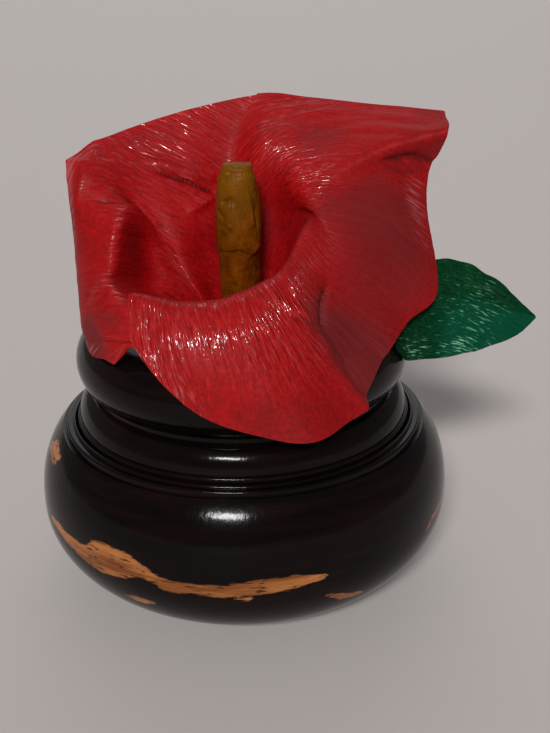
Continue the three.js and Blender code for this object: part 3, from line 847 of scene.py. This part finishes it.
def make_spadix():
    """Rolled paper spadix: a turned profile closed by a flat cap with two low bumps, thinner below the
    ragged lower edge of its outer wrap, then pressed along short wrinkles."""
    columns, rows = SPADIX_GRID
    turn = np.linspace(0, 2 * np.pi, columns, endpoint=False)[:, None]
    share = np.linspace(0, 1, rows)[None, :]
    profile = np.array(SPADIX_PROFILE)
    tip_radius, tip_share = profile[-1]
    rounding = np.clip((share - tip_share) / (1 - tip_share), 0, 1)
    spots = np.interp(share[0], profile[:, 1], np.arange(len(profile)))
    radius = catmull(profile, spots)[:, 0] * (1 - rounding ** CAP_POWER) ** (1 / CAP_POWER)
    fade = np.minimum(radius / LUMP_FADE, 1)
    height = SPADIX_LOW + share * (SPADIX_HIGH - SPADIX_LOW)
    edge = WRAP_EDGE + sum(swing * np.sin(waves * turn + start) for swing, waves, start in WRAP_RAGS)
    step = WRAP_DEPTH * smooth(height - edge, WRAP_SLOPE, -WRAP_SLOPE)
    lumps = sum(rise * np.sin(waves * turn + climb * share + start)
                for rise, waves, climb, start in ROLL_LUMPS)
    reach = radius + (lumps - step) * fade
    tip = TIP_DIP * (np.cos(2 * turn) - 1) * smooth(share, *TIP_SHARES) * radius / tip_radius
    points = np.stack(np.broadcast_arrays(reach * np.cos(turn), reach * np.sin(turn), height + tip), -1)
    ends = np.array(SPADIX_WRINKLES)
    around = np.radians(np.linspace(ends[:, 0], ends[:, 2], WRINKLE_STEPS))
    level = np.linspace(ends[:, 1], ends[:, 3], WRINKLE_STEPS)
    wide = np.interp((level - SPADIX_LOW) / (SPADIX_HIGH - SPADIX_LOW), profile[:, 1], profile[:, 0])
    paths = np.stack([wide * np.cos(around), wide * np.sin(around), level], -1).transpose(1, 0, 2)
    wrinkles = [(path, WRINKLE_WIDTH, WRINKLE_POWER, rise) for path, rise in zip(paths, ends[:, 4])]
    outward = np.concatenate([np.cos(turn), np.sin(turn), np.zeros_like(turn)], 1)[:, None]
    points = points + outward * (fold_height(points, wrinkles) * fade)[..., None]
    add_mesh("spadix_rolled", points, turned_faces(columns, rows), OCHRE, "spadix",
             values={"reach": np.broadcast_to(share, (columns, rows))})


def make_tube(name, node, path, radius, material):
    """Round wire along a path, wound with a paper strip whose edge winds up it; both ends are closed."""
    columns, rows = WIRE_SIDES, len(path)
    heading = np.gradient(path, axis=0)
    heading /= np.linalg.norm(heading, axis=1, keepdims=True)
    side = np.cross(heading, WIRE_ASIDE)
    side /= np.linalg.norm(side, axis=1, keepdims=True)
    other = np.cross(heading, side)
    turn = np.linspace(0, 2 * np.pi, columns, endpoint=False)[:, None]
    walked = arc_lengths(path, 0)
    wind = (walked / (WIND_RADII * radius) + turn / (2 * np.pi)) % 1
    reach = radius * (1 - WIND_STEP + WIND_STEP * wind)
    reach[:, [0, -1]] = 0
    points = path + reach[..., None] * (np.cos(turn)[..., None] * side + np.sin(turn)[..., None] * other)
    share = np.broadcast_to(walked / walked[-1], (columns, rows))
    add_mesh(name, points, turned_faces(columns, rows), material, node, values={"reach": share})


def make_stem():
    """Straight wire on the pot's axis, from the floor of the bore up into the spadix."""
    heights = np.concatenate([
        [STEM_LOW - END_STEP], np.linspace(STEM_LOW, STEM_HIGH, STEM_STEPS), [STEM_HIGH + END_STEP]])
    path = np.stack([0 * heights, 0 * heights, heights], -1)
    make_tube("stem_wound", "stem", path, STEM_RADIUS, WIRE)


def leaf_spine(spots):
    """Points of the leaf's spine at shares of its length."""
    return catmull(above_rim(LEAF_SPINE), spots * (len(LEAF_SPINE) - 1))


def make_stalk():
    """Leaf stalk: from the leaf's base over the rolled rim, down to the floor of the bore."""
    base = leaf_spine(np.array([0.0]))[0]
    reach = math.hypot(base[0], base[1])
    heading = base[:2] / reach
    clear = STALK_RADIUS + STALK_CLEAR
    over = oval_arc(RIM_RADIUS, RIM_Z, RIM_BODY + clear, RIM_RISE + clear, *STALK_TURNS, STALK_MARKS)
    marks = np.concatenate([
        [(reach - STALK_SHORT, base[2])], over,
        [(STALK_SIDE, RIM_Z - STALK_BEND), (STALK_SIDE, POT_FLOOR + STALK_FOOT)]])
    line = catmull(marks, np.linspace(0, len(marks) - 1, STALK_STEPS))
    path = np.concatenate([line[:, :1] * heading, line[:, 1:]], 1)
    start = path[:1] + (path[:1] - path[1:2]) * END_SHARE
    path = np.concatenate([start, path, path[-1:] - (0, 0, END_STEP)])
    make_tube("leaf_stalk_wound", "leaf_stalk", path, STALK_RADIUS, WIRE)


def make_leaf():
    """Pointed crepe leaf: a spine with a width to each side, leaning back, folded a little along the spine
    and ruffled towards its edges."""
    columns, rows = LEAF_GRID
    share = np.linspace(0, 1, columns)[:, None]
    side = np.linspace(-1, 1, rows)[None, :]
    widths = catmull(np.array(LEAF_WIDTHS, float), share[:, 0] * (len(LEAF_WIDTHS) - 1)) * RIM_UNIT
    offset = np.where(side < 0, widths[:, :1], widths[:, 1:]) * side
    lean = np.radians(LEAF_LEAN - LEAF_FOLD * np.tanh(side * LEAF_BEND))
    out = np.stack([0 * lean, np.cos(lean), np.sin(lean)], -1)
    points = leaf_spine(share[:, 0])[:, None, :] + out * offset[..., None]
    across = offset + share * LEAF_SLANT
    along = share * LEAF_RUN - LEAF_SLOPE * offset
    lift = crinkle(LEAF_SEED, across, along, LEAF_RIDGES)
    lift += np.abs(side) * crinkle(LEAF_SEED + 1, along, across, LEAF_RUFFLES)
    lift *= smooth(share, *LEAF_START) * smooth(share, *LEAF_END)
    # Patches of painted pale glints, which also crimp the leaf more; the teal is the leaf's own tone
    dust_shade_and_glint = soft_spots(share, side, LEAF_GLINT_PATCHES)
    teal = LEAF_TEAL * smooth(share, *TEAL_SHARES) * smooth(side, *TEAL_SIDES)
    add_sheet("leaf_cut", "leaf", GREEN, points, lift, (across, along), {
        "crimp": LEAF_CRIMP + GLINT_CRIMP * dust_shade_and_glint, "dust": teal, "scuff_and_glint": dust_shade_and_glint + LEAF_GLINT_LEVEL})


make_pot()
make_spathe_half("spathe_left_crepe", "spathe_left_half", 0, SEAM_RIB + SEAM_LAP, columns=310, rows=155,
                 folds=LEFT_FOLDS, seed=5, left=True)
make_spathe_half("spathe_right_crepe", "spathe_right_half", SEAM_RIB, len(SPATHE_RIBS) - 1, columns=360,
                 rows=136, folds=RIGHT_FOLDS, seed=11, left=False)
make_spadix()
make_stem()
make_stalk()
make_leaf()


def make_floor():
    """Wide pale floor under the pot."""
    mesh = bpy.data.meshes.new("floor")
    near, far = -FLOOR_REACH, FLOOR_REACH
    corners = [(near, near, 0), (far, near, 0), (far, far, 0), (near, far, 0)]
    mesh.from_pydata(corners, [], [(0, 1, 2, 3)])
    material, _, _ = new_material("pale_floor", rgb(196, 188, 184), {
        "Base Color": rgb(204, 196, 193), "Roughness": 0.7, "Specular IOR Level": 0.2})
    mesh.materials.append(material)
    floor = bpy.data.objects.new("floor", mesh)
    bpy.context.collection.objects.link(floor)


def make_camera():
    """Camera at the photograph's place, turned by yaw, pitch and roll about the pot's axis."""
    forward = np.array([math.sin(CAMERA_YAW) * math.cos(CAMERA_PITCH),
                        math.cos(CAMERA_YAW) * math.cos(CAMERA_PITCH), -math.sin(CAMERA_PITCH)])
    level = np.array([math.cos(CAMERA_YAW), -math.sin(CAMERA_YAW), 0.0])
    above = np.cross(level, forward)
    right = math.cos(CAMERA_ROLL) * level + math.sin(CAMERA_ROLL) * above
    up = math.cos(CAMERA_ROLL) * above - math.sin(CAMERA_ROLL) * level
    data = bpy.data.cameras.new("camera")
    data.sensor_fit = "VERTICAL"
    data.sensor_height = 36.0
    data.lens = FOCAL_PIXELS / IMAGE_HEIGHT * data.sensor_height
    data.clip_start = 0.01
    camera = bpy.data.objects.new("camera", data)
    turned = np.eye(4)
    turned[:3, :3] = np.stack([right, up, -forward], 1)
    turned[:3, 3] = np.array([0.0, -CAMERA_BACK, CAMERA_HEIGHT]) * MM
    camera.matrix_world = Matrix(turned.tolist())
    bpy.context.collection.objects.link(camera)
    bpy.context.scene.camera = camera


def make_lamp(name, azimuth, elevation, spread, strength):
    """Distant soft lamp from an azimuth to the right of the camera's side and an elevation, in degrees."""
    side, rise = math.radians(azimuth), math.radians(elevation)
    back = np.array([math.sin(side) * math.cos(rise), -math.cos(side) * math.cos(rise), math.sin(rise)])
    across = np.array([math.cos(side), math.sin(side), 0.0])
    turned = np.eye(4)
    turned[:3, :3] = np.stack([across, np.cross(back, across), back], 1)
    turned[:3, 3] = back
    data = bpy.data.lights.new(name, "SUN")
    data.angle = math.radians(spread)
    data.energy = strength
    lamp = bpy.data.objects.new(name, data)
    lamp.matrix_world = Matrix(turned.tolist())
    bpy.context.collection.objects.link(lamp)


def make_world(strength):
    """Even pale light from all round."""
    world = bpy.data.worlds.new("studio")
    world.use_nodes = True
    backdrop = world.node_tree.nodes["Background"]
    backdrop.inputs["Color"].default_value = rgb(228, 226, 226)
    backdrop.inputs["Strength"].default_value = strength
    bpy.context.scene.world = world


make_floor()
make_camera()
for turn in KEY_TURNS:
    make_lamp(f"key {turn}", azimuth=turn, elevation=36, spread=7, strength=0.85)
make_lamp("fill", azimuth=180, elevation=30, spread=60, strength=0.6)
make_world(strength=0.2)
bpy.context.scene.view_settings.view_transform = "Standard"
